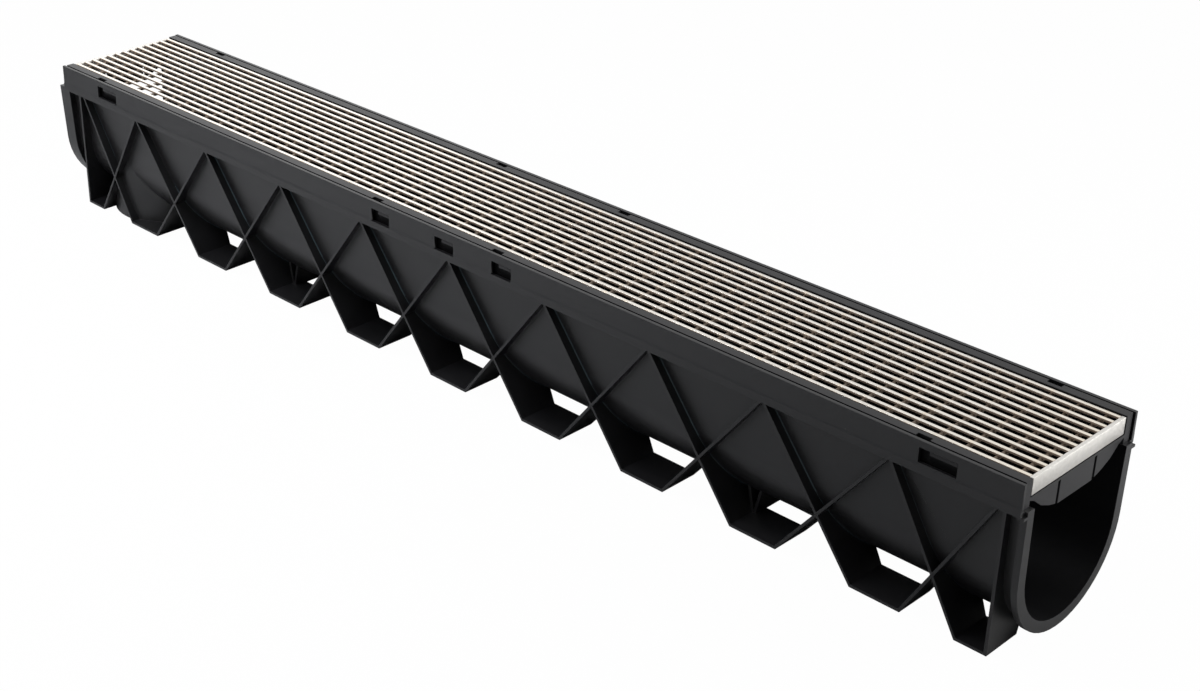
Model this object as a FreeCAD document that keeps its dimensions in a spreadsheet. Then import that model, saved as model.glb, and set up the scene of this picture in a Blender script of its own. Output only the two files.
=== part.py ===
import FreeCAD, Part

import math
import os

import Sketcher

# Channel drain: a moulded trough on lattice feet, a grate carrier clipped into its
# apron, and a grate of lengthwise steel bars welded on cross rods.
# Frame: +X towards the end with the lip, +Y across, +Z up, base at z = 0, and the
# origin at the middle of the whole footprint. Millimetres.

doc = FreeCAD.newDocument("ChannelDrain")

# Driving sizes: name, value, meaning
SIZES = [
    ("channel_length", 1000.0, "apron length along X"),
    ("channel_width", 128.0, "width over the lower band of the apron"),
    ("channel_height", 129.0, "base to the top edge"),
    ("apron_height", 22.5, "height of the side apron"),
    ("apron_wall", 2.65, "thickness of the apron wall"),
    ("band_height", 6.0, "height of the apron's thicker lower band"),
    ("band_step", 0.5, "how far that band stands out"),
    ("ledge_thickness", 2.8, "shelf between trough and apron"),
    ("mouth_width", 103.3, "inside of the trough at the shelf"),
    ("trough_radius", 50.0, "inside radius of the trough"),
    ("trough_wall", 2.7, "wall of the trough"),
    ("floor_height", 9.3, "inside bottom of the trough above the base"),
    ("lip_length", 2.2, "lip beyond the apron at the +X end"),
    ("lip_inset", 2.5, "lip behind the apron's end"),
    ("lip_step", 5.7, "lip over the trough wall at the bottom"),
    ("lip_mouth_step", 4.6, "lip over the trough wall at the mouth"),
    ("nib_height", 2.0, "locating nib under the apron at the lip"),
    ("nib_inset", 1.0, "nib behind the apron's side"),
    ("collar_length", 13.5, "joining collar beyond the apron at the -X end"),
    ("collar_overlap", 1.0, "collar under the apron's end"),
    ("collar_step", 4.8, "collar over the trough wall at the bottom"),
    ("collar_mouth_step", 5.6, "collar over the trough wall at the mouth"),
    ("rib_thickness", 2.2, "slanted ribs of the lattice"),
    ("foot_thickness", 2.2, "plates that stand on the ground"),
    ("foot_width", 39.4, "length of a foot plate along X"),
    ("foot_pitch", 100.0, "distance between feet"),
    ("foot_offset", 4.8, "middle foot from the apron's centre"),
    ("regular_feet", 7, "feet between the two end bays"),
    ("lattice_inset", 3.65, "lattice behind the apron's side"),
    ("foot_gap", 53.0, "free width between the two rows of feet on the ground"),
    ("foot_gap_above", 47.0, "the same width above their sloped inner edges"),
    ("foot_edge_rise", 11.0, "height of those sloped edges"),
    ("end_rib_thickness", 2.4, "upright rib at each end"),
    ("near_end_recess", 10.8, "end rib behind the apron at the +X end"),
    ("far_end_recess", 17.5, "end rib behind the apron at the -X end"),
    ("end_apex_inset", 6.3, "last rib crossing behind the end rib"),
    ("end_foot_width", 24.0, "length of the half foot at each end"),
    ("keel_near_x", 287.0, "keel towards the +X end"),
    ("keel_far_x", -211.0, "keel towards the -X end"),
    ("keel_width", 13.5, "keel where it meets the trough"),
    ("keel_tip", 4.0, "keel at its lower edge"),
    ("keel_wall", 2.2, "wall of the folded keel"),
    ("keel_fold", 3.3, "the same at its fold"),
    ("keel_span", 74.0, "keel across Y"),
    ("keel_clearance", 0.8, "keel above the ground"),
    ("outlet_inset", 69.0, "outlet axis from the -X end of the apron"),
    ("outlet_radius", 55.0, "outside radius of the outlet drum"),
    ("outlet_wall", 2.8, "wall of the outlet drum"),
    ("outlet_rim", 6.0, "straight rim of the outlet drum"),
    ("outlet_taper", 2.3, "draft of the drum above its rim, degrees"),
    ("slot_height", 10.3, "clip slots in the apron"),
    ("end_slot_width", 27.5, "clip slots near the ends"),
    ("end_slot_drop", 5.0, "top edge down to the end slots"),
    ("end_slot_near_x", 441.0, "end slot towards +X"),
    ("end_slot_far_x", -431.5, "end slot towards -X"),
    ("mid_slot_width", 20.3, "clip slots in the middle"),
    ("mid_slot_drop", 6.5, "top edge down to the middle slots"),
    ("mid_slot_near_x", 66.0, "middle slot towards +X"),
    ("mid_slot_x", 5.2, "slot at the middle"),
    ("mid_slot_far_x", -66.2, "middle slot towards -X"),
    ("slit_width", 1.2, "gap between apron and carrier"),
    ("rail_width", 6.85, "top of a carrier rail"),
    ("rail_web", 2.2, "upright walls of a rail"),
    ("rail_roof", 2.5, "top wall of a rail"),
    ("carrier_end_gap", 1.2, "carrier behind the apron's end"),
    ("seat_reach", 5.6, "shelf under the rod ends"),
    ("seat_thickness", 3.0, "thickness of that shelf"),
    ("end_beam_thickness", 3.0, "beam across each end of the carrier"),
    ("end_beam_drop", 13.3, "top edge down to the end beam"),
    ("end_beam_depth", 18.5, "height of the end beam at its middle"),
    ("beam_slit_rise", 0.05, "end beam's lower edge at the slit, share of its height"),
    ("beam_low_reach", 0.55, "first turn of that edge, share of the half width"),
    ("beam_low_rise", 0.16, "first turn, share of the height"),
    ("beam_middle_reach", 0.73, "second turn, share of the half width"),
    ("beam_middle_rise", 0.38, "second turn, share of the height"),
    ("beam_high_reach", 0.9, "third turn, share of the half width"),
    ("beam_high_rise", 0.76, "third turn, share of the height"),
    ("beam_side_rise", 0.88, "end of that edge at the rail, share of the height"),
    ("tongue_width", 38.5, "spring tongue of the end beam"),
    ("tongue_slit", 2.5, "slit on each side of the tongue"),
    ("tongue_root", 1.7, "end beam left above the slits"),
    ("tie_thickness", 3.0, "ties across the carrier"),
    ("tie_depth", 8.0, "height of the ties"),
    ("lug_gap", 7.3, "open part of a slot beside its lug"),
    ("lug_clearance", 0.3, "lug to the slot's edge"),
    ("lug_foot_gap", 1.2, "lug to the slot's lower edge"),
    ("lug_recess", 0.5, "lug behind the apron's face"),
    ("lug_land", 2.5, "upright part of a lug's face"),
    ("notch_length", 10.5, "notches in the rails' outer edges"),
    ("notch_width", 3.3, "how far a notch reaches into the rail"),
    ("notch_depth", 5.0, "how deep a notch is"),
    ("end_notch_near_x", 426.5, "end notch towards +X"),
    ("end_notch_far_x", -445.0, "end notch towards -X"),
    ("mid_notch_near_x", 57.5, "middle notch towards +X"),
    ("mid_notch_far_x", -74.5, "middle notch towards -X"),
    ("grate_drop", 0.5, "grate below the channel's top edge"),
    ("grate_side_gap", 1.1, "grate to a carrier rail"),
    ("grate_end_gap", 1.4, "grate behind the apron's end"),
    ("end_plate_thickness", 2.8, "end plates of the grate"),
    ("end_plate_height", 12.0, "height of those plates"),
    ("bar_count", 13, "lengthwise bars"),
    ("bar_width", 3.0, "top face of a bar"),
    ("bar_foot_width", 1.8, "bottom of a bar, welded to the rods"),
    ("bar_depth", 1.6, "height of a bar"),
    ("bar_edge_inset", 0.5, "outer bar behind the end plate's end"),
    ("rod_diameter", 3.0, "cross rods"),
    ("rod_count", 51, "cross rods in all"),
    ("rod_end_gap", 8.3, "first rod to the end plate"),
    ("rod_inset", 0.3, "rod ends behind the end plate's ends"),
]

sheet = doc.addObject("Spreadsheet::Sheet", "Sizes")
for row, (alias, number, meaning) in enumerate(SIZES, start=1):
    sheet.set("A%d" % row, meaning)
    sheet.set("B%d" % row, str(number))
    sheet.setAlias("B%d" % row, alias)
doc.recompute()


class Term:
    """A length as a number now and as an expression on the sheet for later."""

    def __init__(self, value, text):
        self.value = value
        self.text = text

    def __add__(self, other):
        other = term(other)
        return Term(self.value + other.value, "(%s + %s)" % (self.text, other.text))

    def __sub__(self, other):
        other = term(other)
        return Term(self.value - other.value, "(%s - %s)" % (self.text, other.text))

    def __mul__(self, other):
        other = term(other)
        return Term(self.value * other.value, "(%s * %s)" % (self.text, other.text))

    def __truediv__(self, other):
        other = term(other)
        return Term(self.value / other.value, "(%s / %s)" % (self.text, other.text))

    def __neg__(self):
        return Term(-self.value, "(-%s)" % self.text)


def term(number):
    if isinstance(number, Term):
        return number
    return Term(float(number), repr(float(number)))


def size(alias):
    return Term(float(sheet.get(alias)), "Sizes.%s" % alias)


def root(inside):
    return Term(math.sqrt(inside.value), "sqrt(%s)" % inside.text)


def count(alias):
    return int(sheet.get(alias))


ZERO = term(0)

# Levels and half widths that more than one piece uses
half_length = size("channel_length") / 2
top = size("channel_height")
apron_half = size("channel_width") / 2
wall_half = apron_half - size("band_step")
cavity_half = wall_half - size("apron_wall")
apron_bottom = top - size("apron_height")
ledge_top = apron_bottom + size("ledge_thickness")
mouth_half = size("mouth_width") / 2
trough_centre = size("floor_height") + size("trough_radius")
trough_outer = size("trough_radius") + size("trough_wall")
lattice_half = apron_half - size("lattice_inset")
footprint_shift = (size("collar_length") - size("lip_length")) / 2

rail_outer = cavity_half - size("slit_width")
rail_inner = rail_outer - size("rail_width")
carrier_half = half_length - size("carrier_end_gap")

grate_half = rail_inner - size("grate_side_gap")
grate_end = half_length - size("grate_end_gap")
grate_top = top - size("grate_drop")
bar_end = grate_end - size("end_plate_thickness")
rod_top = grate_top - size("bar_depth")
rod_level = rod_top - size("rod_diameter") / 2
seat_top = rod_top - size("rod_diameter")
first_rod = -(bar_end - size("rod_end_gap"))
rod_pitch = -first_rod * 2 / (count("rod_count") - 1)

# The rods stand in four bays, parted by the carrier's ties
BAYS = 4
bay_rods = math.ceil(count("rod_count") / BAYS)


def new_body(name):
    body = doc.addObject("PartDesign::Body", name)
    body.Label = name
    body.AllowCompound = True
    body.setExpression("Placement.Base.x", footprint_shift.text)
    return body


def origin_part(body, role):
    for feature in body.Origin.OriginFeatures:
        if feature.Role == role:
            return feature
    raise ValueError("no %s in %s" % (role, body.Name))


def new_sketch(body, name, role, offset=ZERO):
    sketch = body.newObject("Sketcher::SketchObject", name)
    sketch.AttachmentSupport = (origin_part(body, role), [""])
    sketch.MapMode = "FlatFace"
    sketch.setExpression("AttachmentOffset.Base.z", offset.text)
    return sketch


def add_bound(sketch, items):
    """Add constraints given as (constraint, term or None) and bind those with a term."""
    first = sketch.ConstraintCount
    sketch.addConstraint([constraint for constraint, bound in items])
    for index, (constraint, bound) in enumerate(items):
        if bound is not None:
            sketch.setExpression("Constraints[%d]" % (first + index), bound.text)


def add_polygon(sketch, corners):
    """Closed outline of straight edges, every corner bound to the sheet."""
    first = sketch.GeometryCount
    points = [FreeCAD.Vector(x.value, y.value, 0) for x, y in corners]
    edges = [Part.LineSegment(a, b) for a, b in zip(points, points[1:] + points[:1])]
    sketch.addGeometry(edges)
    items = []
    for index, (x, y) in enumerate(corners):
        edge = first + index
        following = first + (index + 1) % len(corners)
        items.append((Sketcher.Constraint("Coincident", edge, 2, following, 1), None))
        items.append((Sketcher.Constraint("DistanceX", edge, 1, x.value), x))
        items.append((Sketcher.Constraint("DistanceY", edge, 1, y.value), y))
    add_bound(sketch, items)


def add_rectangle(sketch, left, right, bottom, upper):
    add_polygon(sketch, [(left, bottom), (right, bottom), (right, upper), (left, upper)])


def add_circle(sketch, x, y, radius):
    index = sketch.addGeometry(
        Part.Circle(FreeCAD.Vector(x.value, y.value, 0), FreeCAD.Vector(0, 0, 1), radius.value))
    add_bound(sketch, [
        (Sketcher.Constraint("DistanceX", index, 3, x.value), x),
        (Sketcher.Constraint("DistanceY", index, 3, y.value), y),
        (Sketcher.Constraint("Radius", index, radius.value), radius),
    ])


def add_octagon(sketch, x, y, across_flats):
    half = across_flats / 2
    near = half * math.tan(math.pi / 8)
    turns = [(near, -half), (half, -near), (half, near), (near, half)]
    corners = turns + [(-side, -rise) for side, rise in turns]
    add_polygon(sketch, [(x + side, y + rise) for side, rise in corners])


def add_trough_outline(sketch, half_mouth, level, radius):
    """U outline: a mouth at the given level and drafted sides tangent to a round bottom."""
    rise = level.value - trough_centre.value
    reach = math.hypot(half_mouth.value, rise)
    touch = math.atan2(rise, half_mouth.value) - math.acos(radius.value / reach)
    right = FreeCAD.Vector(half_mouth.value, level.value, 0)
    left = FreeCAD.Vector(-half_mouth.value, level.value, 0)
    touch_right = FreeCAD.Vector(
        radius.value * math.cos(touch), trough_centre.value + radius.value * math.sin(touch), 0)
    touch_left = FreeCAD.Vector(-touch_right.x, touch_right.y, 0)
    circle = Part.Circle(
        FreeCAD.Vector(0, trough_centre.value, 0), FreeCAD.Vector(0, 0, 1), radius.value)
    sketch.addGeometry([
        Part.LineSegment(right, left),
        Part.LineSegment(left, touch_left),
        Part.ArcOfCircle(circle, math.pi - touch, 2 * math.pi + touch),
        Part.LineSegment(touch_right, right),
    ])
    add_bound(sketch, [
        (Sketcher.Constraint("Coincident", 0, 2, 1, 1), None),
        (Sketcher.Constraint("Coincident", 3, 2, 0, 1), None),
        (Sketcher.Constraint("Tangent", 1, 2, 2, 1), None),
        (Sketcher.Constraint("Tangent", 2, 2, 3, 1), None),
        (Sketcher.Constraint("PointOnObject", 2, 3, -2), None),
        (Sketcher.Constraint("DistanceY", 2, 3, trough_centre.value), trough_centre),
        (Sketcher.Constraint("Radius", 2, radius.value), radius),
        (Sketcher.Constraint("DistanceX", 0, 1, half_mouth.value), half_mouth),
        (Sketcher.Constraint("DistanceY", 0, 1, level.value), level),
        (Sketcher.Constraint("DistanceX", 0, 2, -half_mouth.value), -half_mouth),
        (Sketcher.Constraint("DistanceY", 0, 2, level.value), level),
    ])


def sweep(kind, body, sketch, length, symmetric=False, backwards=False):
    """Pad or Pocket of one sketch, its length bound to the sheet."""
    feature = body.newObject("PartDesign::" + kind, sketch.Name + kind)
    feature.Profile = (sketch, [""])
    feature.AllowMultiFace = True
    feature.SideType = "Symmetric" if symmetric else "One side"
    feature.Reversed = backwards
    feature.setExpression("Length", length.text)
    return feature


def pad(body, sketch, length, symmetric=False, backwards=False):
    return sweep("Pad", body, sketch, length, symmetric, backwards)


def pocket(body, sketch, length, symmetric=False, backwards=False):
    return sweep("Pocket", body, sketch, length, symmetric, backwards)


def repeat_along_x(body, feature, pitch, copies):
    pattern = body.newObject("PartDesign::LinearPattern", feature.Name + "Row")
    pattern.Originals = [feature]
    pattern.Direction = (origin_part(body, "X_Axis"), [""])
    pattern.Mode = "Spacing"
    pattern.setExpression("Offset", pitch.text)
    pattern.Occurrences = copies
    body.Tip = pattern
    return pattern


def repeat_half_turn(body, features, name):
    """Copy features half a turn round the vertical axis."""
    pattern = body.newObject("PartDesign::PolarPattern", name)
    pattern.Originals = features
    pattern.Axis = (origin_part(body, "Z_Axis"), [""])
    pattern.Mode = "Extent"
    pattern.Angle = 360
    pattern.Occurrences = 2
    body.Tip = pattern
    return pattern


def mirror_ends(body, features, name):
    mirrored = body.newObject("PartDesign::Mirrored", name)
    mirrored.Originals = features
    mirrored.MirrorPlane = (origin_part(body, "YZ_Plane"), [""])
    body.Tip = mirrored
    return mirrored


# Channel body

def add_trestle(body, name, outline):
    """A foot plate with one arm rising from each end, padded across the channel."""
    foot_left, foot_right, arm_left, arm_right, wall_left, wall_right = outline
    left_start = foot_left + wall_left
    right_start = foot_right - wall_right
    plate = size("foot_thickness")
    inner_left = left_start + wall_left + (arm_left - left_start) * plate / apron_bottom
    inner_right = right_start - wall_right + (arm_right - right_start) * plate / apron_bottom
    sketch = new_sketch(body, name, "XZ_Plane")
    add_polygon(sketch, [
        (foot_left, ZERO),
        (foot_right, ZERO),
        (arm_right + wall_right, apron_bottom),
        (arm_right - wall_right, apron_bottom),
        (inner_right, plate),
        (inner_left, plate),
        (arm_left + wall_left, apron_bottom),
        (arm_left - wall_left, apron_bottom),
    ])
    return pad(body, sketch, lattice_half * 2, symmetric=True)


def slanted_half_wall(run):
    """Half the horizontal width of a rib that runs this far sideways over its height."""
    slant = root(run * run + apron_bottom * apron_bottom)
    return size("rib_thickness") / 2 * slant / apron_bottom


def trestle_outline(foot_left, foot_right, arm_left, arm_right):
    wall_left = slanted_half_wall(arm_left - foot_left)
    wall_right = slanted_half_wall(foot_right - arm_right)
    return foot_left, foot_right, arm_left, arm_right, wall_left, wall_right


def add_lattice(body):
    pitch = size("foot_pitch")
    half_foot = size("foot_width") / 2
    outer_row = pitch * ((count("regular_feet") - 1) / 2)
    first = size("foot_offset") - outer_row
    last = size("foot_offset") + outer_row
    regular = add_trestle(body, "RegularTrestle", trestle_outline(
        first - half_foot, first + half_foot, first - pitch, first + pitch))
    repeat_along_x(body, regular, pitch, count("regular_feet"))

    near_rib = half_length - size("near_end_recess")
    far_rib = -(half_length - size("far_end_recess"))
    near_apex = near_rib - size("end_apex_inset")
    far_apex = far_rib + size("end_apex_inset")
    near_foot = last + pitch
    far_foot = first - pitch
    add_trestle(body, "NearFoot", trestle_outline(
        near_foot - half_foot, near_foot + half_foot, last, near_apex))
    add_trestle(body, "FarFoot", trestle_outline(
        far_foot - half_foot, far_foot + half_foot, far_apex, first))

    upright = size("end_rib_thickness") / 2
    near_corner = near_rib - size("end_foot_width")
    far_corner = far_rib + size("end_foot_width")
    add_trestle(body, "NearHalfFoot", (
        near_corner, near_rib, near_foot, near_rib - upright,
        slanted_half_wall(near_corner - near_foot), upright))
    add_trestle(body, "FarHalfFoot", (
        far_rib, far_corner, far_rib + upright, far_foot,
        upright, slanted_half_wall(far_foot - far_corner)))

    middle = new_sketch(body, "FootGap", "YZ_Plane")
    half_gap = size("foot_gap") / 2
    half_above = size("foot_gap_above") / 2
    rise = size("foot_edge_rise")
    add_polygon(middle, [
        (-half_gap, ZERO),
        (half_gap, ZERO),
        (half_above, rise),
        (half_above, ledge_top),
        (-half_above, ledge_top),
        (-half_above, rise),
    ])
    pocket(body, middle, half_length * 2, symmetric=True)


def add_keels(body):
    """Two folded bars across the underside of the trough."""
    half_span = size("keel_span") / 2
    root_level = (trough_centre + size("trough_wall") / 2
                  - root(trough_outer * trough_outer - half_span * half_span))
    tip_level = size("keel_clearance")
    half_width = size("keel_width") / 2
    half_tip = size("keel_tip") / 2
    sketch = new_sketch(body, "Keels", "XZ_Plane")
    for x in (size("keel_near_x"), size("keel_far_x")):
        add_polygon(sketch, [
            (x - half_tip, tip_level),
            (x + half_tip, tip_level),
            (x + half_width, root_level),
            (x + half_width - size("keel_wall"), root_level),
            (x, tip_level + size("keel_fold")),
            (x - half_width + size("keel_wall"), root_level),
            (x - half_width, root_level),
        ])
    pad(body, sketch, size("keel_span"), symmetric=True)


def add_outlet(body):
    """Drum under the far end for a pipe, closed above by the trough."""
    x = -(half_length - size("outlet_inset"))
    rim = size("outlet_rim")
    outer = size("outlet_radius")
    inner = outer - size("outlet_wall")
    drafted = trough_centre - rim
    for name, kind, radius in (("Drum", "Pad", outer), ("DrumHollow", "Pocket", inner)):
        lower = new_sketch(body, name + "Rim", "XY_Plane")
        add_circle(lower, x, ZERO, radius)
        sweep(kind, body, lower, rim, backwards=kind == "Pocket")
        upper = new_sketch(body, name + "Cone", "XY_Plane", rim)
        add_circle(upper, x, ZERO, radius)
        cone = sweep(kind, body, upper, drafted, backwards=kind == "Pocket")
        cone.setExpression("TaperAngle", "-Sizes.outlet_taper")


def add_trough(body):
    """Filled trough with its apron, lip and collar; the hollow is cut afterwards."""
    outer_mouth = mouth_half + size("trough_wall")
    far_end = half_length + size("collar_length")
    near_end = half_length + size("lip_length")

    trough = new_sketch(body, "Trough", "YZ_Plane", -far_end)
    add_trough_outline(trough, outer_mouth, ledge_top, trough_outer)
    pad(body, trough, far_end + near_end)

    apron = new_sketch(body, "Apron", "YZ_Plane")
    band_top = apron_bottom + size("band_height")
    add_polygon(apron, [
        (-apron_half, apron_bottom),
        (apron_half, apron_bottom),
        (apron_half, band_top),
        (wall_half, band_top + size("band_step")),
        (wall_half, top),
        (cavity_half, top),
        (cavity_half, ledge_top),
        (-cavity_half, ledge_top),
        (-cavity_half, top),
        (-wall_half, top),
        (-wall_half, band_top + size("band_step")),
        (-apron_half, band_top),
    ])
    pad(body, apron, half_length * 2, symmetric=True)

    lip_start = half_length - size("lip_inset")
    lip_depth = size("lip_inset") + size("lip_length")
    lip = new_sketch(body, "Lip", "YZ_Plane", lip_start)
    add_trough_outline(lip, outer_mouth + size("lip_mouth_step"), ledge_top,
                       trough_outer + size("lip_step"))
    pad(body, lip, lip_depth)
    nibs = new_sketch(body, "Nibs", "YZ_Plane", lip_start)
    nib_half = apron_half - size("nib_inset")
    add_rectangle(nibs, -nib_half, nib_half, apron_bottom - size("nib_height"), apron_bottom)
    pad(body, nibs, lip_depth)

    collar = new_sketch(body, "Collar", "YZ_Plane", -far_end)
    add_trough_outline(collar, outer_mouth + size("collar_mouth_step"), apron_bottom,
                       trough_outer + size("collar_step"))
    pad(body, collar, size("collar_length") + size("collar_overlap"))

    hollow = new_sketch(body, "Hollow", "YZ_Plane")
    add_trough_outline(hollow, mouth_half, ledge_top, size("trough_radius"))
    pocket(body, hollow, far_end * 2, symmetric=True)


def slot_places():
    """Left edge, right edge and upper edge of every clip slot on one side."""
    places = []
    for name in ("end_slot_far_x", "mid_slot_far_x", "mid_slot_x", "mid_slot_near_x",
                 "end_slot_near_x"):
        kind = name[:3]
        half_width = size(kind + "_slot_width") / 2
        upper = top - size(kind + "_slot_drop")
        places.append((size(name) - half_width, size(name) + half_width, upper))
    return places


def add_slots(body):
    sketch = new_sketch(body, "Slots", "XZ_Plane", apron_half)
    for left, right, upper in slot_places():
        add_rectangle(sketch, left, right, upper - size("slot_height"), upper)
    cut = pocket(body, sketch, apron_half - rail_outer)
    repeat_half_turn(body, [cut], "SlotsBothSides")


channel_body = new_body("channel_body")
add_lattice(channel_body)
add_keels(channel_body)
add_outlet(channel_body)
add_trough(channel_body)
add_slots(channel_body)


# Grate carrier

def add_rails(body):
    rails = new_sketch(body, "Rails", "YZ_Plane")
    seats = new_sketch(body, "Seats", "YZ_Plane")
    for side in (-1, 1):
        add_rectangle(rails, rail_inner * side, rail_outer * side, ledge_top, top)
        seat_edge = rail_inner - size("seat_reach")
        add_rectangle(seats, seat_edge * side, rail_inner * side,
                      seat_top - size("seat_thickness"), seat_top)
    pad(body, rails, carrier_half * 2, symmetric=True)
    pad(body, seats, (bar_end - size("lug_clearance")) * 2, symmetric=True)


def add_end_beams(body):
    """Beam under the grate's end plate, with a spring tongue between two slits."""
    upper = top - size("end_beam_drop")
    lower = upper - size("end_beam_depth")
    tongue = size("tongue_width") / 2
    slit = tongue + size("tongue_slit")
    slit_top = upper - size("tongue_root")
    depth = size("end_beam_depth")
    right_side = [
        (tongue, lower),
        (tongue, slit_top),
        (slit, slit_top),
        (slit, lower + depth * size("beam_slit_rise")),
        (rail_inner * size("beam_low_reach"), lower + depth * size("beam_low_rise")),
        (rail_inner * size("beam_middle_reach"), lower + depth * size("beam_middle_rise")),
        (rail_inner * size("beam_high_reach"), lower + depth * size("beam_high_rise")),
        (rail_inner, lower + depth * size("beam_side_rise")),
        (rail_inner, upper),
    ]
    left_side = [(-y, z) for y, z in reversed(right_side)]
    sketch = new_sketch(body, "EndBeam", "YZ_Plane", carrier_half - size("end_beam_thickness"))
    add_polygon(sketch, right_side + left_side)
    beam = pad(body, sketch, size("end_beam_thickness"))
    mirror_ends(body, [beam], "EndBeams")


def add_ties(body):
    """Thin ties under a rod at each change of bay."""
    spacing = rod_pitch * bay_rods
    first = first_rod + rod_pitch * (bay_rods - 1)
    sketch = new_sketch(body, "Tie", "YZ_Plane", first - size("tie_thickness") / 2)
    add_rectangle(sketch, -rail_inner, rail_inner, seat_top - size("tie_depth"), seat_top)
    tie = pad(body, sketch, size("tie_thickness"))
    repeat_along_x(body, tie, spacing, BAYS - 1)


def hollow_rails(body):
    inner = rail_inner + size("rail_web")
    outer = rail_outer - size("rail_web")
    closed_end = carrier_half - size("end_beam_thickness")
    sketch = new_sketch(body, "RailGrooves", "XY_Plane", ledge_top)
    for side in (-1, 1):
        add_rectangle(sketch, -closed_end, closed_end, inner * side, outer * side)
    pocket(body, sketch, top - size("rail_roof") - ledge_top, backwards=True)


def add_notches(body):
    sketch = new_sketch(body, "Notches", "XY_Plane", top)
    half = size("notch_length") / 2
    for name in ("end_notch_far_x", "mid_notch_far_x", "mid_notch_near_x", "end_notch_near_x"):
        for side in (-1, 1):
            x = size(name) * -side
            add_rectangle(sketch, x - half, x + half,
                          (rail_outer - size("notch_width")) * side, cavity_half * side)
    pocket(body, sketch, size("notch_depth"))


def add_lugs(body):
    """Clip lugs that stand in the apron's slots, ramped below to ride over its edge."""
    face = wall_half - size("lug_recess")
    lugs = []
    for index, (left, right, upper) in enumerate(slot_places(), start=1):
        start = left + size("lug_gap")
        lug_top = upper - size("lug_clearance")
        lug_bottom = upper - size("slot_height") + size("lug_foot_gap")
        sketch = new_sketch(body, "Lug%d" % index, "YZ_Plane", start)
        add_polygon(sketch, [
            (-rail_outer, lug_bottom),
            (-rail_outer, lug_top),
            (-face, lug_top),
            (-face, lug_top - size("lug_land")),
        ])
        lugs.append(pad(body, sketch, right - size("lug_clearance") - start))
    repeat_half_turn(body, lugs, "LugsBothSides")


grate_carrier = new_body("grate_carrier")
add_rails(grate_carrier)
add_end_beams(grate_carrier)
add_ties(grate_carrier)
hollow_rails(grate_carrier)
add_notches(grate_carrier)
add_lugs(grate_carrier)


# Grate

def make_end_plate(name, start):
    body = new_body(name)
    sketch = new_sketch(body, name + "_face", "YZ_Plane", start)
    add_rectangle(sketch, -grate_half, grate_half, grate_top - size("end_plate_height"), grate_top)
    pad(body, sketch, size("end_plate_thickness"))
    return body


def make_bar(number):
    """One lengthwise bar, narrower at the foot that is welded to the rods."""
    span = (grate_half - size("bar_edge_inset") - size("bar_width") / 2) * 2
    centre = span * ((number - 1) / (count("bar_count") - 1) - 0.5)
    half_top = size("bar_width") / 2
    half_foot = size("bar_foot_width") / 2
    body = new_body("grate_bar_%02d" % number)
    sketch = new_sketch(body, "bar_%02d_section" % number, "YZ_Plane")
    add_polygon(sketch, [
        (centre - half_foot, rod_top),
        (centre + half_foot, rod_top),
        (centre + half_top, grate_top),
        (centre - half_top, grate_top),
    ])
    pad(body, sketch, bar_end * 2, symmetric=True)
    return body


def make_rod_bay(number):
    """The cross rods of one bay, separate rods in one node, each rolled with eight flats."""
    first = (number - 1) * bay_rods
    copies = min(bay_rods, count("rod_count") - first)
    body = new_body("cross_rods_bay_%d" % number)
    sketch = new_sketch(body, "rod_bay_%d" % number, "XZ_Plane")
    add_octagon(sketch, first_rod + rod_pitch * first, rod_level, size("rod_diameter"))
    rod = pad(body, sketch, (grate_half - size("rod_inset")) * 2, symmetric=True)
    repeat_along_x(body, rod, rod_pitch, copies)
    return body


pieces = [channel_body, grate_carrier]
pieces.append(make_end_plate("end_plate_near", bar_end))
pieces.append(make_end_plate("end_plate_far", -grate_end))
for number in range(1, count("bar_count") + 1):
    pieces.append(make_bar(number))
for number in range(1, BAYS + 1):
    pieces.append(make_rod_bay(number))

doc.recompute()

for thing in doc.Objects:
    if "Invalid" in thing.State or "Error" in thing.State:
        raise RuntimeError("%s failed: %s" % (thing.Name, thing.State))
for piece in pieces:
    if piece.Shape.isNull() or not piece.Shape.isValid():
        raise RuntimeError("%s has no valid shape" % piece.Label)

os.makedirs("parts", exist_ok=True)
for piece in pieces:
    piece.Shape.exportStep("parts/%s.step" % piece.Label)
    box = piece.Shape.BoundBox
    print("%s: %d solids, %.0f mm3, X %.1f..%.1f Y %.1f..%.1f Z %.1f..%.1f" % (
        piece.Label, len(piece.Shape.Solids), piece.Shape.Volume,
        box.XMin, box.XMax, box.YMin, box.YMax, box.ZMin, box.ZMax))
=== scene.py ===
import math

import bmesh
import bpy
from mathutils import Matrix, Vector


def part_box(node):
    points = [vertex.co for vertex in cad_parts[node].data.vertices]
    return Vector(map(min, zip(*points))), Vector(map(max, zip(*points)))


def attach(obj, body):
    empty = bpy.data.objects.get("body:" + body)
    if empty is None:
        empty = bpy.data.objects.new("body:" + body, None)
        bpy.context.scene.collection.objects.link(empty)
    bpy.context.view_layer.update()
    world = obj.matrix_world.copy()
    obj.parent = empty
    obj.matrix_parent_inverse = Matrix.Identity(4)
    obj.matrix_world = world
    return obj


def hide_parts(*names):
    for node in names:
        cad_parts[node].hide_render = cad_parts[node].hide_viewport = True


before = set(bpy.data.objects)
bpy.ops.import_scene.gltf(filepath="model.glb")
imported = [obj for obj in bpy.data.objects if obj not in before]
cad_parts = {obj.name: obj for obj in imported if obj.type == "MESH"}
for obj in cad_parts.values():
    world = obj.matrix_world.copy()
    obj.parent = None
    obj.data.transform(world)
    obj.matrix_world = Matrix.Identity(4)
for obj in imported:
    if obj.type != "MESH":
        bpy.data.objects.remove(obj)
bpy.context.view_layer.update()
mm = 0.001
print("frame loaded:", len(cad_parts), "nodes")


# Small helpers for the modelling below

facing = 0.9  # least share of a face's normal along an axis for the face to count as facing it


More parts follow.
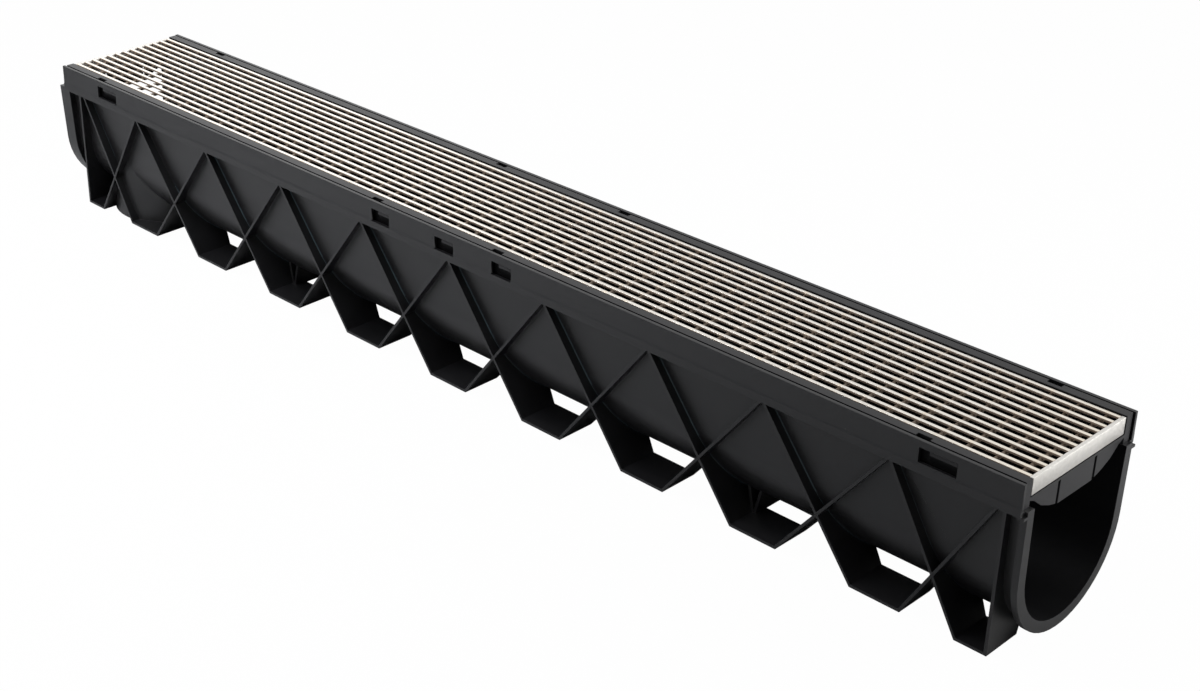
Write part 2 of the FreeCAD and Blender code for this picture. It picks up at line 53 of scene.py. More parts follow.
def deselectAll():
    if bpy.context.object and bpy.context.object.mode != "OBJECT":
        leaveEdit()
    bpy.ops.object.select_all(action="DESELECT")


def makeActive(piece):
    deselectAll()
    piece.select_set(True)
    bpy.context.view_layer.objects.active = piece


def placeInMesh(piece):
    makeActive(piece)
    bpy.ops.object.transform_apply(location=True, rotation=True, scale=True)


def openEdit(piece, kind, action):  # kind is FACE or EDGE, action SELECT or DESELECT
    makeActive(piece)
    bpy.ops.object.mode_set(mode="EDIT")
    bpy.ops.mesh.select_mode(type=kind)
    bpy.ops.mesh.select_all(action=action)


def leaveEdit():
    bpy.ops.object.mode_set(mode="OBJECT")


def editAll(piece):  # opens edit mode with the whole mesh selected
    openEdit(piece, "FACE", "SELECT")


def editFaces(piece, test):  # with the faces that pass the test selected
    openEdit(piece, "FACE", "DESELECT")
    leaveEdit()
    for face in piece.data.polygons:
        face.select = test(face)
    bpy.ops.object.mode_set(mode="EDIT")


def editEdges(piece, test):  # the same for edges, with their two ends given to the test
    openEdit(piece, "EDGE", "DESELECT")
    leaveEdit()
    points = piece.data.vertices
    for edge in piece.data.edges:
        edge.select = test(*(points[index].co for index in edge.vertices))
    bpy.ops.object.mode_set(mode="EDIT")


def applyModifier(piece, kind, **values):
    modifier = piece.modifiers.new(kind.title(), kind)
    for key, value in values.items():
        setattr(modifier, key, value)
    makeActive(piece)
    bpy.ops.object.modifier_apply(modifier=modifier.name)


def smoothBy(piece, degrees):
    makeActive(piece)
    bpy.ops.object.shade_smooth_by_angle(angle=math.radians(degrees))


def giveFinishes(piece, *finishes):
    piece.data.materials.clear()
    for finish in finishes:
        piece.data.materials.append(finish)


def addCube(name, low, high):
    deselectAll()
    bpy.ops.mesh.primitive_cube_add(size=1, location=(low + high) / 2, scale=high - low)
    cube = bpy.context.object
    cube.name = cube.data.name = name
    placeInMesh(cube)
    return cube


def copyPiece(piece, name, shift=(0, 0, 0)):
    twin = bpy.data.objects.new(name, piece.data.copy())
    twin.data.name = name
    twin.data.transform(Matrix.Translation(Vector(shift)))
    bpy.context.scene.collection.objects.link(twin)
    return twin


def joinPieces(pieces, name):
    deselectAll()
    for piece in pieces:
        piece.select_set(True)
    bpy.context.view_layer.objects.active = pieces[0]
    bpy.ops.object.join()
    pieces[0].name = pieces[0].data.name = name
    return pieces[0]


cadCopy = {"mergeDistance": 0.002 * mm, "flatAngle": 0.6}


def mergedCopy(nodeName, pieceName):  # the CAD node's loose triangles as one closed mesh
    piece = copyPiece(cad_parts[nodeName], pieceName)
    editAll(piece)
    bpy.ops.mesh.remove_doubles(threshold=cadCopy["mergeDistance"])
    bpy.ops.mesh.dissolve_limited(angle_limit=math.radians(cadCopy["flatAngle"]))
    leaveEdit()
    bpy.ops.mesh.customdata_custom_splitnormals_clear()
    return piece


def fitOn(piece, node):
    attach(piece, "root")
    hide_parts(node)


# Shader helpers

white = (1, 1, 1, 1)


def place(tree, kind, inputs=None, **settings):
    made = tree.nodes.new(kind)
    for key, value in settings.items():
        setattr(made, key, value)
    for key, value in (inputs or {}).items():
        if isinstance(value, bpy.types.NodeSocket):
            tree.links.new(value, made.inputs[key])
        else:
            made.inputs[key].default_value = value
    return made


def linkAll(tree, node, sockets):
    for key, socket in sockets.items():
        tree.links.new(socket, node.inputs[key])


def newGroup(name, inputs, outputs):
    group = bpy.data.node_groups.new(name, "ShaderNodeTree")
    for direction, labels in (("INPUT", inputs), ("OUTPUT", outputs)):
        for label in labels:
            group.interface.new_socket(label, in_out=direction, socket_type="NodeSocketFloat")
    return group, group.nodes.new("NodeGroupInput"), group.nodes.new("NodeGroupOutput")


def useGroup(tree, group, **values):
    return place(tree, "ShaderNodeGroup", values, node_tree=group)


def calc(tree, operation, first, second=0.0, clamp=False):
    return place(tree, "ShaderNodeMath", {0: first, 1: second},
                 operation=operation, use_clamp=clamp).outputs[0]


def mixColour(tree, share, first, second):
    first, second = (value if isinstance(value, bpy.types.NodeSocket) else (*value, 1)
                     for value in (first, second))
    return place(tree, "ShaderNodeMix", {"Factor": share, 6: first, 7: second},
                 data_type="RGBA").outputs[2]  # 6, 7 and 2 are its colour sockets


def remap(tree, value, low, high, newLow=0.0, newHigh=1.0):
    return place(tree, "ShaderNodeMapRange", {
        "Value": value, "From Min": low, "From Max": high,
        "To Min": newLow, "To Max": newHigh}).outputs[0]


def objectPlace(tree):
    return place(tree, "ShaderNodeTexCoord").outputs["Object"]


def noise(tree, where, values):
    return place(tree, "ShaderNodeTexNoise", dict(values, Vector=where)).outputs[0]


def newMaterial(name):
    material = bpy.data.materials.new(name)
    material.use_nodes = True
    tree = material.node_tree
    return material, tree, tree.nodes["Principled BSDF"]


# Effects that several finishes share

mouldGrainLook = {
    "fine": {"Detail": 3.0, "Roughness": 0.6}, "fineShare": 0.5,
    "flowStretch": (5, 45, 70), "flow": {"Scale": 1.0, "Detail": 4.0, "Distortion": 0.6},
    "cloud": {"Scale": 16.0, "Detail": 5.0}, "shadeShare": 0.5,
    "speckCells": 95.0, "speckSize": (0.05, 0.025), "speckChance": (0.93, 0.94)}


def makeMouldGrain():  # fine grain, long flow marks, soft clouds and a few dust specks
    look = mouldGrainLook
    group, given, result = newGroup("mouldGrain", ["Grain", "Flow"],
                                    ["Height", "Shade", "Specks"])
    where = objectPlace(group)
    grain = noise(group, where, dict(look["fine"], Scale=given.outputs["Grain"]))
    stretched = place(group, "ShaderNodeMapping", {"Vector": where, "Scale": look["flowStretch"]})
    flow = noise(group, stretched.outputs[0], look["flow"])
    cloud = noise(group, where, look["cloud"])
    flowing = calc(group, "MULTIPLY", flow, given.outputs["Flow"])
    height = calc(group, "ADD", calc(group, "MULTIPLY", grain, look["fineShare"]), flowing)
    shade = calc(group, "MULTIPLY", calc(group, "ADD", flowing, cloud), look["shadeShare"])
    cells = place(group, "ShaderNodeTexVoronoi", {"Vector": where, "Scale": look["speckCells"]})
    near = remap(group, cells.outputs["Distance"], *look["speckSize"])
    lot = place(group, "ShaderNodeSeparateColor", {0: cells.outputs["Color"]}).outputs[0]
    specks = calc(group, "MULTIPLY", near, remap(group, lot, *look["speckChance"]))
    linkAll(group, result, {"Height": height, "Shade": shade, "Specks": specks})
    return group


edgeHighlightLook = {"samples": 4, "turnRange": (0.985, 0.8), "patches": {"Scale": 120.0, "Detail": 3.0},
                "patchRange": (0.3, 0.65, 0.35, 1.0)}


def makeEdgeHighlight():  # a painted highlight along the edges: a mask where the rounded normal leaves the flat one, broken into patches
    look = edgeHighlightLook
    group, given, result = newGroup("edgeHighlight", ["Radius"], ["Mask"])
    rounded = place(group, "ShaderNodeBevel", {"Radius": given.outputs["Radius"]},
                    samples=look["samples"])
    flat = place(group, "ShaderNodeNewGeometry").outputs["True Normal"]
    turn = place(group, "ShaderNodeVectorMath", {0: rounded.outputs[0], 1: flat},
                 operation="DOT_PRODUCT").outputs["Value"]
    patches = noise(group, objectPlace(group), look["patches"])
    edge = remap(group, turn, *look["turnRange"])
    highlit = calc(group, "MULTIPLY", edge, remap(group, patches, *look["patchRange"]))
    linkAll(group, result, {"Mask": highlit})
    return group


drawnLinesLook = {"Scale": 1.0, "Detail": 4.0, "Roughness": 0.7}


def makeDrawnLines():  # noise drawn out along the length, as on drawn or brushed steel
    group, given, result = newGroup("drawnLines", ["Along", "Across"], ["Height"])
    where = objectPlace(group)
    scale = place(group, "ShaderNodeCombineXYZ", {0: given.outputs["Along"],
                                                  1: given.outputs["Across"],
                                                  2: given.outputs["Across"]})
    stretched = place(group, "ShaderNodeVectorMath", {0: where, 1: scale.outputs[0]},
                      operation="MULTIPLY")
    linkAll(group, result, {"Height": noise(group, stretched.outputs[0], drawnLinesLook)})
    return group


weldTintLook = {"patches": {"Scale": 150.0, "Detail": 3.0}, "rodRange": (0.35, 0.65),
                "endWidth": 75 * mm, "endRange": (0.2, 0.7, 0.45, 1.0)}


def makeWeldTint():  # warm bands that repeat at every cross rod, and stronger near the ends
    look = weldTintLook
    group, given, result = newGroup("weldTint", ["First", "Pitch", "Reach", "End"],
                                    ["Rod", "End"])
    where = objectPlace(group)
    along = place(group, "ShaderNodeSeparateXYZ", {0: where}).outputs[0]
    step = calc(group, "DIVIDE", calc(group, "SUBTRACT", along, given.outputs["First"]),
                given.outputs["Pitch"])
    off = calc(group, "ABSOLUTE", calc(group, "SUBTRACT", step, calc(group, "ROUND", step)))
    away = calc(group, "MULTIPLY", off, given.outputs["Pitch"])
    band = calc(group, "SUBTRACT", 1.0, calc(group, "DIVIDE", away, given.outputs["Reach"]),
                clamp=True)
    patches = noise(group, where, look["patches"])
    atRod = calc(group, "MULTIPLY", band, remap(group, patches, *look["rodRange"]))
    toEnd = calc(group, "SUBTRACT", given.outputs["End"], calc(group, "ABSOLUTE", along))
    warm = remap(group, toEnd, look["endWidth"], 0.0)
    atEnd = calc(group, "MULTIPLY", warm, remap(group, patches, *look["endRange"]))
    linkAll(group, result, {"Rod": atRod, "End": atEnd})
    return group


mouldGrain = makeMouldGrain()
edgeHighlight = makeEdgeHighlight()
drawnLines = makeDrawnLines()
weldTint = makeWeldTint()
print("shared effects ready")


# Finishes

def finishSurface(tree, shader, look, colour, shade, height):
    bump = place(tree, "ShaderNodeBump", {"Height": height, "Strength": look["bump"],
                                          "Distance": look["bumpDepth"]})
    roughness = remap(tree, shade, *look["roughRange"], *look["roughness"])
    linkAll(tree, shader, {"Base Color": colour, "Roughness": roughness,
                           "Normal": bump.outputs[0]})


def makePlastic(name, look):
    material, tree, shader = newMaterial(name)
    grain = useGroup(tree, mouldGrain, Grain=look["grain"], Flow=look["flow"])
    edge = useGroup(tree, edgeHighlight, Radius=look["edgeWidth"])
    body = mixColour(tree, remap(tree, grain.outputs["Shade"], *look["colourRange"]),
                     look["dark"], look["light"])
    dusty = mixColour(tree, calc(tree, "MULTIPLY", grain.outputs["Specks"], look["specks"]),
                      body, look["dust"])
    # painted highlight: the lighter, bluish edge colour laid along the rounded edges
    highlit = mixColour(tree, calc(tree, "MULTIPLY", edge.outputs["Mask"], look["edgeHighlightShare"]),
                     dusty, look["edge"])
    finishSurface(tree, shader, look, highlit, grain.outputs["Shade"], grain.outputs["Height"])
    shader.inputs["Specular IOR Level"].default_value = look["gloss"]
    return material


def makeSteel(name, look):
    material, tree, shader = newMaterial(name)
    lines = useGroup(tree, drawnLines, Along=look["along"], Across=look["across"]).outputs[0]
    tint = useGroup(tree, weldTint, First=look["first"], Pitch=look["pitch"],
                    Reach=look["reach"], End=look["end"])
    body = mixColour(tree, remap(tree, lines, *look["colourRange"]), look["dark"], look["light"])
    banded = mixColour(tree, calc(tree, "MULTIPLY", tint.outputs["Rod"], look["rodShare"]),
                       body, look["straw"])
    warm = mixColour(tree, calc(tree, "MULTIPLY", tint.outputs["End"], look["endShare"]),
                     banded, look["warm"])
    finishSurface(tree, shader, look, warm, lines, lines)
    shader.inputs["Metallic"].default_value = look["metal"]
    return material


plasticLook = {
    "grain": 1300.0, "flow": 1.0, "edgeWidth": 0.5 * mm, "edgeHighlightShare": 0.8, "specks": 0.7,
    "dark": (0.0022, 0.0022, 0.0026), "light": (0.0038, 0.0037, 0.0044),
    # edge is the lighter colour of the painted edge highlight
    "colourRange": (0.35, 0.65), "dust": (0.06, 0.06, 0.058), "edge": (0.012, 0.013, 0.015),
    "roughness": (0.36, 0.48), "roughRange": (0.3, 0.7), "gloss": 0.41,
    "bump": 0.12, "bumpDepth": 0.15 * mm}
# painted shade: a darker, duller plastic on the trough's inside and in the slits, where shade falls
insideShadeLook = dict(plasticLook, dark=(0.0020, 0.0020, 0.0023), light=(0.0032, 0.0032, 0.0035),
                  roughness=(0.5, 0.62), gloss=0.06, edgeHighlightShare=0.3)
rootHighlightLook = dict(plasticLook, dark=(0.011, 0.023, 0.029), light=(0.018, 0.036, 0.044), gloss=0.7,
                edgeHighlightShare=0.0)  # painted highlight: a lighter, bluish colour on the glossy root fillets along the ribs, for the bluish light they catch
carrierLook = dict(plasticLook, grain=1700.0, flow=0.5, roughness=(0.4, 0.5),
                   dark=(0.0060, 0.0058, 0.0066), light=(0.0100, 0.0097, 0.0110), gloss=0.28)

channelPlastic = makePlastic("channelPlastic", plasticLook)
insideShadePlastic = makePlastic("insideShadePlastic", insideShadeLook)
rootHighlightPlastic = makePlastic("rootHighlightPlastic", rootHighlightLook)
carrierPlastic = makePlastic("carrierPlastic", carrierLook)

bayRods = (13, 13, 13, 12)  # cross rods between the carrier's ties, from the first bay on
firstBay, lastBay = (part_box("cross_rods_bay_%d" % bay) for bay in (1, len(bayRods)))
rodRadius = (firstBay[1].z - firstBay[0].z) / 2
rodFirst = firstBay[0].x + rodRadius
rodLast = lastBay[1].x - rodRadius
rodPitch = (rodLast - rodFirst) / (sum(bayRods) - 1)

barLook = {
    "along": 7.0, "across": 1500.0, "first": rodFirst, "pitch": rodPitch, "reach": 3.2 * mm,
    "end": 500 * mm, "rodShare": 0.45, "endShare": 0.75,  # the grate's ends lie at +-500 mm
    "dark": (0.69, 0.66, 0.605), "light": (0.82, 0.79, 0.735), "colourRange": (0.3, 0.7),
    "straw": (0.74, 0.6, 0.42), "warm": (0.76, 0.69, 0.57),
    "roughness": (0.24, 0.36), "roughRange": (0.25, 0.75), "metal": 1.0,
    "bump": 0.25, "bumpDepth": 0.05 * mm}
# painted shade: the bars' sides get a darker brown steel than their tops, for the shade between the
# bars
barShadedSideLook = dict(barLook, dark=(0.172, 0.133, 0.104), light=(0.368, 0.288, 0.227),
                   straw=(0.46, 0.37, 0.28), warm=(0.28, 0.21, 0.16), roughness=(0.42, 0.6),
                   rodShare=0.8, metal=0.25, reach=3.6 * mm)
# painted shade: the rods are steel coloured dark brown for the shade they lie in under the bars
rodShadeLook = dict(barLook, along=900.0, across=60.0, dark=(0.075, 0.058, 0.043),
               light=(0.16, 0.127, 0.098), straw=(0.13, 0.1, 0.075), warm=(0.15, 0.112, 0.083),
               roughness=(0.38, 0.55), bump=0.3, metal=0.5)
weldLook = dict(rodShadeLook, dark=(0.14, 0.105, 0.07), light=(0.32, 0.25, 0.175),
                straw=(0.34, 0.25, 0.15), along=500.0, across=500.0, roughness=(0.25, 0.4),
                metal=0.7)
plateLook = dict(barLook, along=400.0, across=420.0, dark=(0.59, 0.572, 0.54),
                 light=(0.69, 0.67, 0.635), roughness=(0.36, 0.5), endShare=0.0, rodShare=0.0,
                 bump=0.35)

barSteel = makeSteel("barSteel", barLook)
barShadedSideSteel = makeSteel("barShadedSideSteel", barShadedSideLook)
rodShadedSteel = makeSteel("rodShadedSteel", rodShadeLook)
weldSteel = makeSteel("weldSteel", weldLook)
plateSteel = makeSteel("plateSteel", plateLook)
print("finishes ready")


# The two plastic mouldings keep their CAD form and get rounded edges

roundingShape = {"leastTurn": 28, "smooth": 32, "steps": 2}  # angles in degrees


def roundEdges(piece, radiusFor, blended=None):  # radii in mm
    build = bmesh.new()
    build.from_mesh(piece.data)
    weights = build.edges.layers.float.new("bevel_weight_edge")
    widest = 0.0
    for edge in build.edges:
        if (len(edge.link_faces) == 2
                and edge.calc_face_angle() > math.radians(roundingShape["leastTurn"])):
            radius = radiusFor(edge)
            edge[weights] = radius
            widest = max(widest, radius)
    for edge in build.edges:
        edge[weights] /= widest
    build.to_mesh(piece.data)
    build.free()
    applyModifier(piece, "BEVEL", width=widest * mm, segments=roundingShape["steps"],
                  limit_method="WEIGHT", use_clamp_overlap=False, miter_outer="MITER_SHARP")
    smoothBy(piece, roundingShape["smooth"])
    if blended:
        points = piece.data.vertices
        for edge in piece.data.edges:
            if all(blended(points[index].co) for index in edge.vertices):
                edge.use_edge_sharp = False
    applyModifier(piece, "WEIGHTED_NORMAL", keep_sharp=True)


# Channel: softened edges, and fillets where the ribs meet the trough's wall

channelShape = {  # in mm, apart from the draft in degrees and the shares of a normal
    "cornerRadius": 0.35, "hollowRadius": 0.2,
    "filletRadius": 0.8, "filletShortest": 2.0, "filletSlant": 0.01,
    "filletEnd": 385.0,  # none in the narrow end bays
    "troughCentre": 59.3, "wallReach": (51.9, 55.4), "insideReach": 51.9, "insideShare": 0.5,
    "apronBottom": 106.5, "bandStep": (112.3, 113.2), "bandReach": 63.4,
    "slitReach": (60.5, 61.2), "draftStart": -1.86, "wallShare": 0.97,
    "rootReach": (52.6, 53.7), "rootShares": (0.2, 0.1)}


def fromTroughAxis(point):  # in mm, and simply across above the round part
    below = min(0.0, point.z / mm - channelShape["troughCentre"])
    return math.hypot(point.y / mm, below)


def fromWall(point):  # the same, but the sides lean outwards above the round part
    above = max(0.0, point.z / mm - channelShape["troughCentre"])
    return fromTroughAxis(point) + above * math.tan(math.radians(channelShape["draftStart"]))


def onBandStep(point):  # the faint step along the apron
    low, high = channelShape["bandStep"]
    return low < point.z / mm < high and abs(point.y) > channelShape["bandReach"] * mm


def channelRadius(edge):
    first, last = (vertex.co for vertex in edge.verts)
    if onBandStep(first) and onBandStep(last):
        return 0.0
    if edge.is_convex:
        return channelShape["cornerRadius"]
    low, high = channelShape["wallReach"]
    onWall = all(low < fromTroughAxis(point) < high and point.z < channelShape["apronBottom"] * mm
                 for point in (first, last))
    inReach = max(abs(first.x), abs(last.x)) < channelShape["filletEnd"] * mm
    slanted = abs(first.x - last.x) > channelShape["filletSlant"] * mm
    if onWall and inReach and slanted and edge.calc_length() > channelShape["filletShortest"] * mm:
        return channelShape["filletRadius"]
    return channelShape["hollowRadius"]


# the trough's inside, which gets the painted shade
def inTrough(face):
    below = min(0.0, face.center.z - channelShape["troughCentre"] * mm)
    radius = math.hypot(face.center.y, below)
    inward = -(face.normal.y * face.center.y + face.normal.z * below)
    return (radius < channelShape["insideReach"] * mm
            and inward > channelShape["insideShare"] * radius
            and face.center.z < channelShape["apronBottom"] * mm)


def inSlit(face):  # the apron's inner side, in the slit beside the carrier, which gets the painted shade
    low, high = channelShape["slitReach"]
    return (low < abs(face.center.y) / mm < high and face.normal.y * face.center.y < 0
            and abs(face.normal.y) > facing)


def onRoot(face, points):  # the upper fillets between the ribs and the wall, which get the painted bluish highlight
    low, high = channelShape["rootReach"]
    slant, rise = channelShape["rootShares"]
    return (face.normal.z > rise and abs(face.normal.x) > slant
            and face.center.z < channelShape["apronBottom"] * mm
            and all(low < fromWall(points[index].co) < high for index in face.vertices))


def wallNormal(point):  # of the round bottom, or of the slightly drafted sides above it
    angle = math.atan2(point.z / mm - channelShape["troughCentre"], abs(point.y) / mm)
    angle = min(angle, math.radians(channelShape["draftStart"]))
    return Vector((0, math.copysign(math.cos(angle), point.y), math.sin(angle)))


def roundWallNormals(piece):  # so the ribs don't disturb its shading, nor the step the apron's
    low, high = channelShape["wallReach"]
    points = piece.data.vertices
    normals = [Vector(corner.vector) for corner in piece.data.corner_normals]
    for face in piece.data.polygons:
        corners = {loop: points[piece.data.loops[loop].vertex_index].co
                   for loop in face.loop_indices}
        if all(onBandStep(point) for point in corners.values()):
            for loop in corners:
                normals[loop] = Vector((0, math.copysign(1, face.center.y), 0))
        elif all(low < fromTroughAxis(point) < high for point in corners.values()):
            for loop, point in corners.items():
                normal = wallNormal(point)
                if normal.dot(face.normal) > channelShape["wallShare"]:
                    normals[loop] = normal
    piece.data.normals_split_custom_set(normals)


channel = mergedCopy("channel_body", "channelShell")
roundEdges(channel, channelRadius, onBandStep)
giveFinishes(channel, channelPlastic, insideShadePlastic, rootHighlightPlastic)
for face in channel.data.polygons:
    # the root fillets get the painted bluish highlight
    if onRoot(face, channel.data.vertices):
        face.material_index = 2
    else:
        # painted shade on the trough's inside and in the slit
        face.material_index = int(inTrough(face) or inSlit(face))
roundWallNormals(channel)
fitOn(channel, "channel_body")
print("channel:", len(channel.data.polygons), "faces")


# Carrier: softened edges, and painted shade in the slit: a darker, duller finish

carrierShape = {"cornerRadius": 0.25, "hollowRadius": 0.15,  # in mm
                "slitSide": 59.5, "railSide": 59.9, "outwardShare": 0.5, "rampShare": 0.2}


def carrierRadius(edge):
    return carrierShape["cornerRadius" if edge.is_convex else "hollowRadius"]


def inCarrierSlit(face):  # the rails' outer sides and the undersides of the lugs' ramps, which get the painted shade
    across = abs(face.center.y) / mm
    outward = face.normal.y * math.copysign(1, face.center.y)
    return (across > carrierShape["slitSide"] and outward > carrierShape["outwardShare"]
            and (across < carrierShape["railSide"] or face.normal.z < -carrierShape["rampShare"]))


carrier = mergedCopy("grate_carrier", "carrierFrame")
roundEdges(carrier, carrierRadius)
giveFinishes(carrier, carrierPlastic, insideShadePlastic)
for face in carrier.data.polygons:
    face.material_index = int(inCarrierSlit(face))
fitOn(carrier, "grate_carrier")
print("carrier:", len(carrier.data.polygons), "faces")


# Grate bars: wedge wires, one modelled and copied to every place

barShape = {"count": 13, "footShare": 0.85, "edgeRadius": 0.42 * mm, "edgeSteps": 3,
            "lengthwise": 0.001 * mm, "topShare": 0.75, "smooth": 40}
barNodes = ["grate_bar_%02d" % number for number in range(1, barShape["count"] + 1)]
barCentres = [sum(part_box(node), Vector()).y / 2 for node in barNodes]


def makeFirstBar():
    low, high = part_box(barNodes[0])
    middle = (low + high) / 2
    bar = addCube("barOne", low, high)
    editFaces(bar, lambda face: face.normal.z < -facing)
    bpy.ops.transform.resize(value=(1, barShape["footShare"], 1))
    leaveEdit()
    editEdges(bar, lambda a, b: (min(a.z, b.z) > middle.z  # the two long edges on top
                                 and abs(a.y - b.y) < barShape["lengthwise"]))
    bpy.ops.mesh.bevel(offset=barShape["edgeRadius"], segments=barShape["edgeSteps"],
                       affect="EDGES")
    leaveEdit()
    giveFinishes(bar, barSteel, barShadedSideSteel)
    # the sides get the darker steel: painted shade
    for face in bar.data.polygons:
        face.material_index = int(face.normal.z < barShape["topShare"])
    smoothBy(bar, barShape["smooth"])
    return bar


firstBar = makeFirstBar()
for number, node in enumerate(barNodes, start=1):
    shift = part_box(node)[0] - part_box(barNodes[0])[0]
    fitOn(copyPiece(firstBar, "wedgeBar_%02d" % number, shift), node)
bpy.data.objects.remove(firstBar)
print("bars:", len(barNodes))


# Cross rods with a weld bead under every bar

beadShape = {"segments": 8, "rings": 5}
rodShape = {"sides": 16, "chamfer": 0.4 * mm, "smooth": 50, "beadBelow": 0.2 * mm,
            "bead": (1.25 * mm, 1.3 * mm, 0.6 * mm)}  # half its length, width and height


def addBeads(piece, finish, x, level, size):  # gives the piece its finish and joins the beads
    giveFinishes(piece, finish, weldSteel)
    beads = []
    for across in barCentres:
        deselectAll()
        bpy.ops.mesh.primitive_uv_sphere_add(
            segments=beadShape["segments"], ring_count=beadShape["rings"], radius=1,
            location=(x, across, level), scale=size)
        bead = bpy.context.object
        placeInMesh(bead)
        giveFinishes(bead, finish, weldSteel)
        for face in bead.data.polygons:
            face.material_index = 1
        beads.append(bead)
    return joinPieces([piece] + beads, piece.name)


def makeFirstRod():
    low, high = firstBay
    deselectAll()
    bpy.ops.mesh.primitive_cylinder_add(
        vertices=rodShape["sides"], radius=rodRadius, depth=high.y - low.y,
        location=(rodFirst, (low.y + high.y) / 2, (low.z + high.z) / 2),
        rotation=(math.radians(90), 0, 0))
    rod = bpy.context.object
    rod.name = "rodOne"
    placeInMesh(rod)
    editFaces(rod, lambda face: abs(face.normal.y) > facing)
    bpy.ops.mesh.bevel(offset=rodShape["chamfer"], segments=1, affect="EDGES")
    leaveEdit()
    rod = addBeads(rod, rodShadedSteel, rodFirst, high.z - rodShape["beadBelow"], rodShape["bead"])
    smoothBy(rod, rodShape["smooth"])
    return rod


firstRod = makeFirstRod()
rodNumber = 0
for bay, rods in enumerate(bayRods, start=1):
    copies = []
    for turn in range(rods):
        copies.append(copyPiece(firstRod, "rodCopy", (rodPitch * rodNumber, 0, 0)))
        rodNumber += 1
    fitOn(joinPieces(copies, "weldedRods_bay_%d" % bay), "cross_rods_bay_%d" % bay)
bpy.data.objects.remove(firstRod)
print("rods:", rodNumber)


# End plates with softened edges, and the seam where the bars are welded to them

plateShape = {"edgeRadius": 0.3 * mm, "edgeSteps": 2, "smooth": 40, "beadBelow": 1.3 * mm,
              "bead": (0.9 * mm, 1.7 * mm, 0.7 * mm)}  # half its length, width and height


def makeEndPlate(node, name):
    low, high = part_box(node)
    plate = addCube(name, low, high)
    editAll(plate)
    bpy.ops.mesh.bevel(offset=plateShape["edgeRadius"], segments=plateShape["edgeSteps"],
                       affect="EDGES")
    leaveEdit()
    inner = low.x if low.x > 0 else high.x
    plate = addBeads(plate, plateSteel, inner, high.z - plateShape["beadBelow"],
                     plateShape["bead"])
    smoothBy(plate, plateShape["smooth"])
    fitOn(plate, node)


for end in ("near", "far"):
    makeEndPlate("end_plate_" + end, "endPlate_" + end)
print("end plates ready")


# Floor, light and camera

def raysOf(tree, *kinds):  # 1 for these kinds of ray and 0 for the others
    path = place(tree, "ShaderNodeLightPath")
    seen = path.outputs[kinds[0]]
    for kind in kinds[1:]:
        seen = calc(tree, "MAXIMUM", seen, path.outputs[kind])
    return seen


floorLook = {"size": 30.0, "below": 0.2 * mm, "colour": (0.8, 0.8, 0.8, 1), "whiteShare": 0.985}


def makeFloor():
    deselectAll()
    bpy.ops.mesh.primitive_plane_add(size=floorLook["size"], location=(0, 0, -floorLook["below"]))
    floor = bpy.context.object
    floor.name = "floor"
    paper = bpy.data.materials.new("palePaper")
    paper.use_nodes = True
    tree = paper.node_tree
    tree.nodes.clear()
    seen = raysOf(tree, "Is Camera Ray", "Is Transmission Ray")
    share = calc(tree, "MULTIPLY", seen, floorLook["whiteShare"])
    matt = place(tree, "ShaderNodeBsdfDiffuse", {"Color": floorLook["colour"]})
    glow = place(tree, "ShaderNodeEmission", {"Color": white, "Strength": 1.0})
    both = place(tree, "ShaderNodeMixShader", {0: share, 1: matt.outputs[0], 2: glow.outputs[0]})
    place(tree, "ShaderNodeOutputMaterial", {0: both.outputs[0]})
    giveFinishes(floor, paper)


studioLook = {"fill": 0.06, "backdrop": 1.0}


def makeStudio():  # a weak fill on the object, with a white backdrop behind and in its gloss
    world = bpy.data.worlds.new("studio")
    bpy.context.scene.world = world
    world.use_nodes = True
    tree = world.node_tree
    tree.nodes.clear()
    seen = raysOf(tree, "Is Camera Ray", "Is Glossy Ray", "Is Transmission Ray")
    fill, backdrop = (place(tree, "ShaderNodeBackground", {"Color": white, "Strength": strength})
                      for strength in (studioLook["fill"], studioLook["backdrop"]))
    both = place(tree, "ShaderNodeMixShader",
                 {0: seen, 1: fill.outputs[0], 2: backdrop.outputs[0]})
    place(tree, "ShaderNodeOutputWorld", {0: both.outputs[0]})


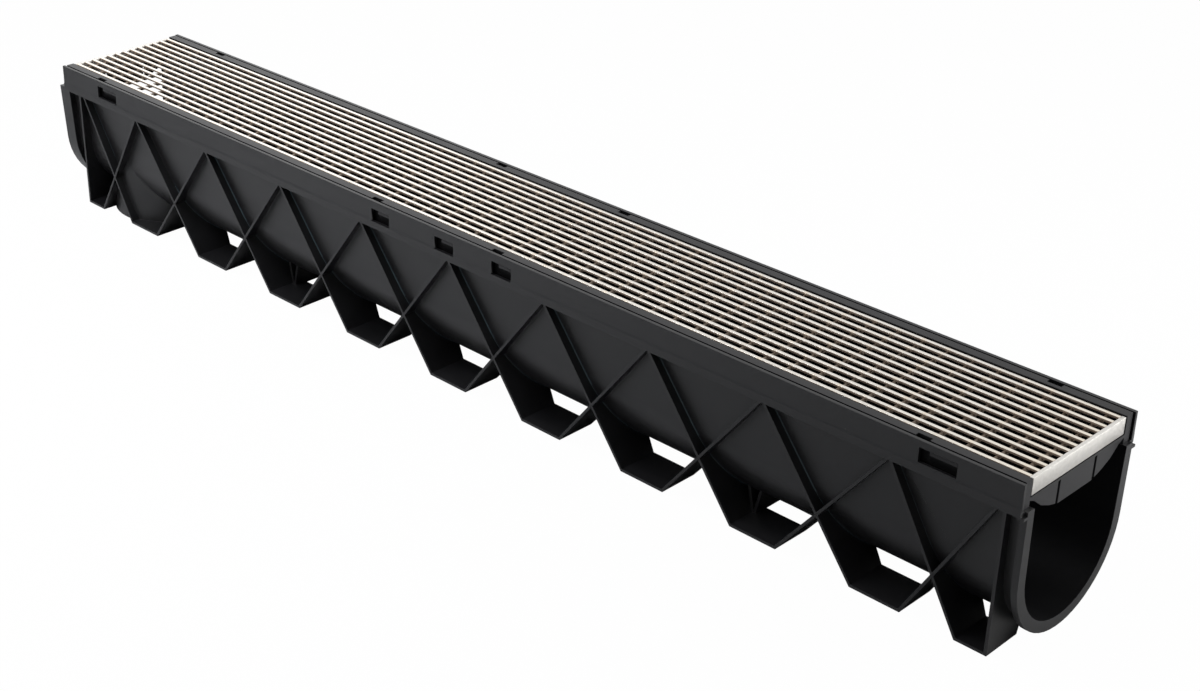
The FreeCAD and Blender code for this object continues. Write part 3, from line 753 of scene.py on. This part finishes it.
softboxes = {  # position, aim and side length in metres, power in watts
    "keySoftbox": {"position": (-0.4, -0.38, 0.98), "aim": (-0.34, -0.15, 0), "size": 0.6,
                   "power": 10.3, "colour": (0.93, 0.95, 1.0)},
    "frontPanel": {"position": (-0.7, -1.3, 1.0), "aim": (-0.2, 0, 0.1), "size": 0.8,
                   "power": 7, "colour": (1, 1, 1)},
    "backPanel": {"position": (-2.1, 1.2, 0.95), "aim": (-0.4, 0, 0.13), "size": 1.2,
                  "power": 4.0, "colour": (1, 1, 1)},
    "platePanel": {"position": (1.15, 0.8, 0.5), "aim": (0.55, 0.1, 0.05), "size": 0.7,
                   "power": 14, "colour": (1, 1, 1)}}


def addSoftbox(name, box):
    deselectAll()
    bpy.ops.object.light_add(type="AREA", location=box["position"])
    lamp = bpy.context.object
    lamp.name = name
    lamp.data.shape = "SQUARE"
    lamp.data.size = box["size"]
    lamp.data.energy = box["power"]
    lamp.data.color = box["colour"]
    turn = (Vector(box["aim"]) - Vector(box["position"])).to_track_quat("-Z", "Y")
    lamp.rotation_euler = turn.to_euler()


cameraPlace = {"place": (0.990524, -0.963132, 0.729852), "azimuth": 46.038, "elevation": 27.622,
               "lens": 59.18, "sensor": 36, "shiftX": 0.0938, "shiftY": 0.0004,
               "nearest": 0.01, "farthest": 50}


def makeCamera():
    deselectAll()
    turn = (math.radians(90 - cameraPlace["elevation"]), 0, math.radians(cameraPlace["azimuth"]))
    bpy.ops.object.camera_add(location=cameraPlace["place"], rotation=turn)
    camera = bpy.context.object
    camera.data.sensor_width = cameraPlace["sensor"]
    camera.data.lens = cameraPlace["lens"]
    camera.data.shift_x = cameraPlace["shiftX"]
    camera.data.shift_y = cameraPlace["shiftY"]
    camera.data.clip_start = cameraPlace["nearest"]
    camera.data.clip_end = cameraPlace["farthest"]
    bpy.context.scene.camera = camera


makeFloor()
makeStudio()
for name, box in softboxes.items():
    addSoftbox(name, box)
makeCamera()
bpy.context.scene.view_settings.view_transform = "Standard"
print("studio ready")
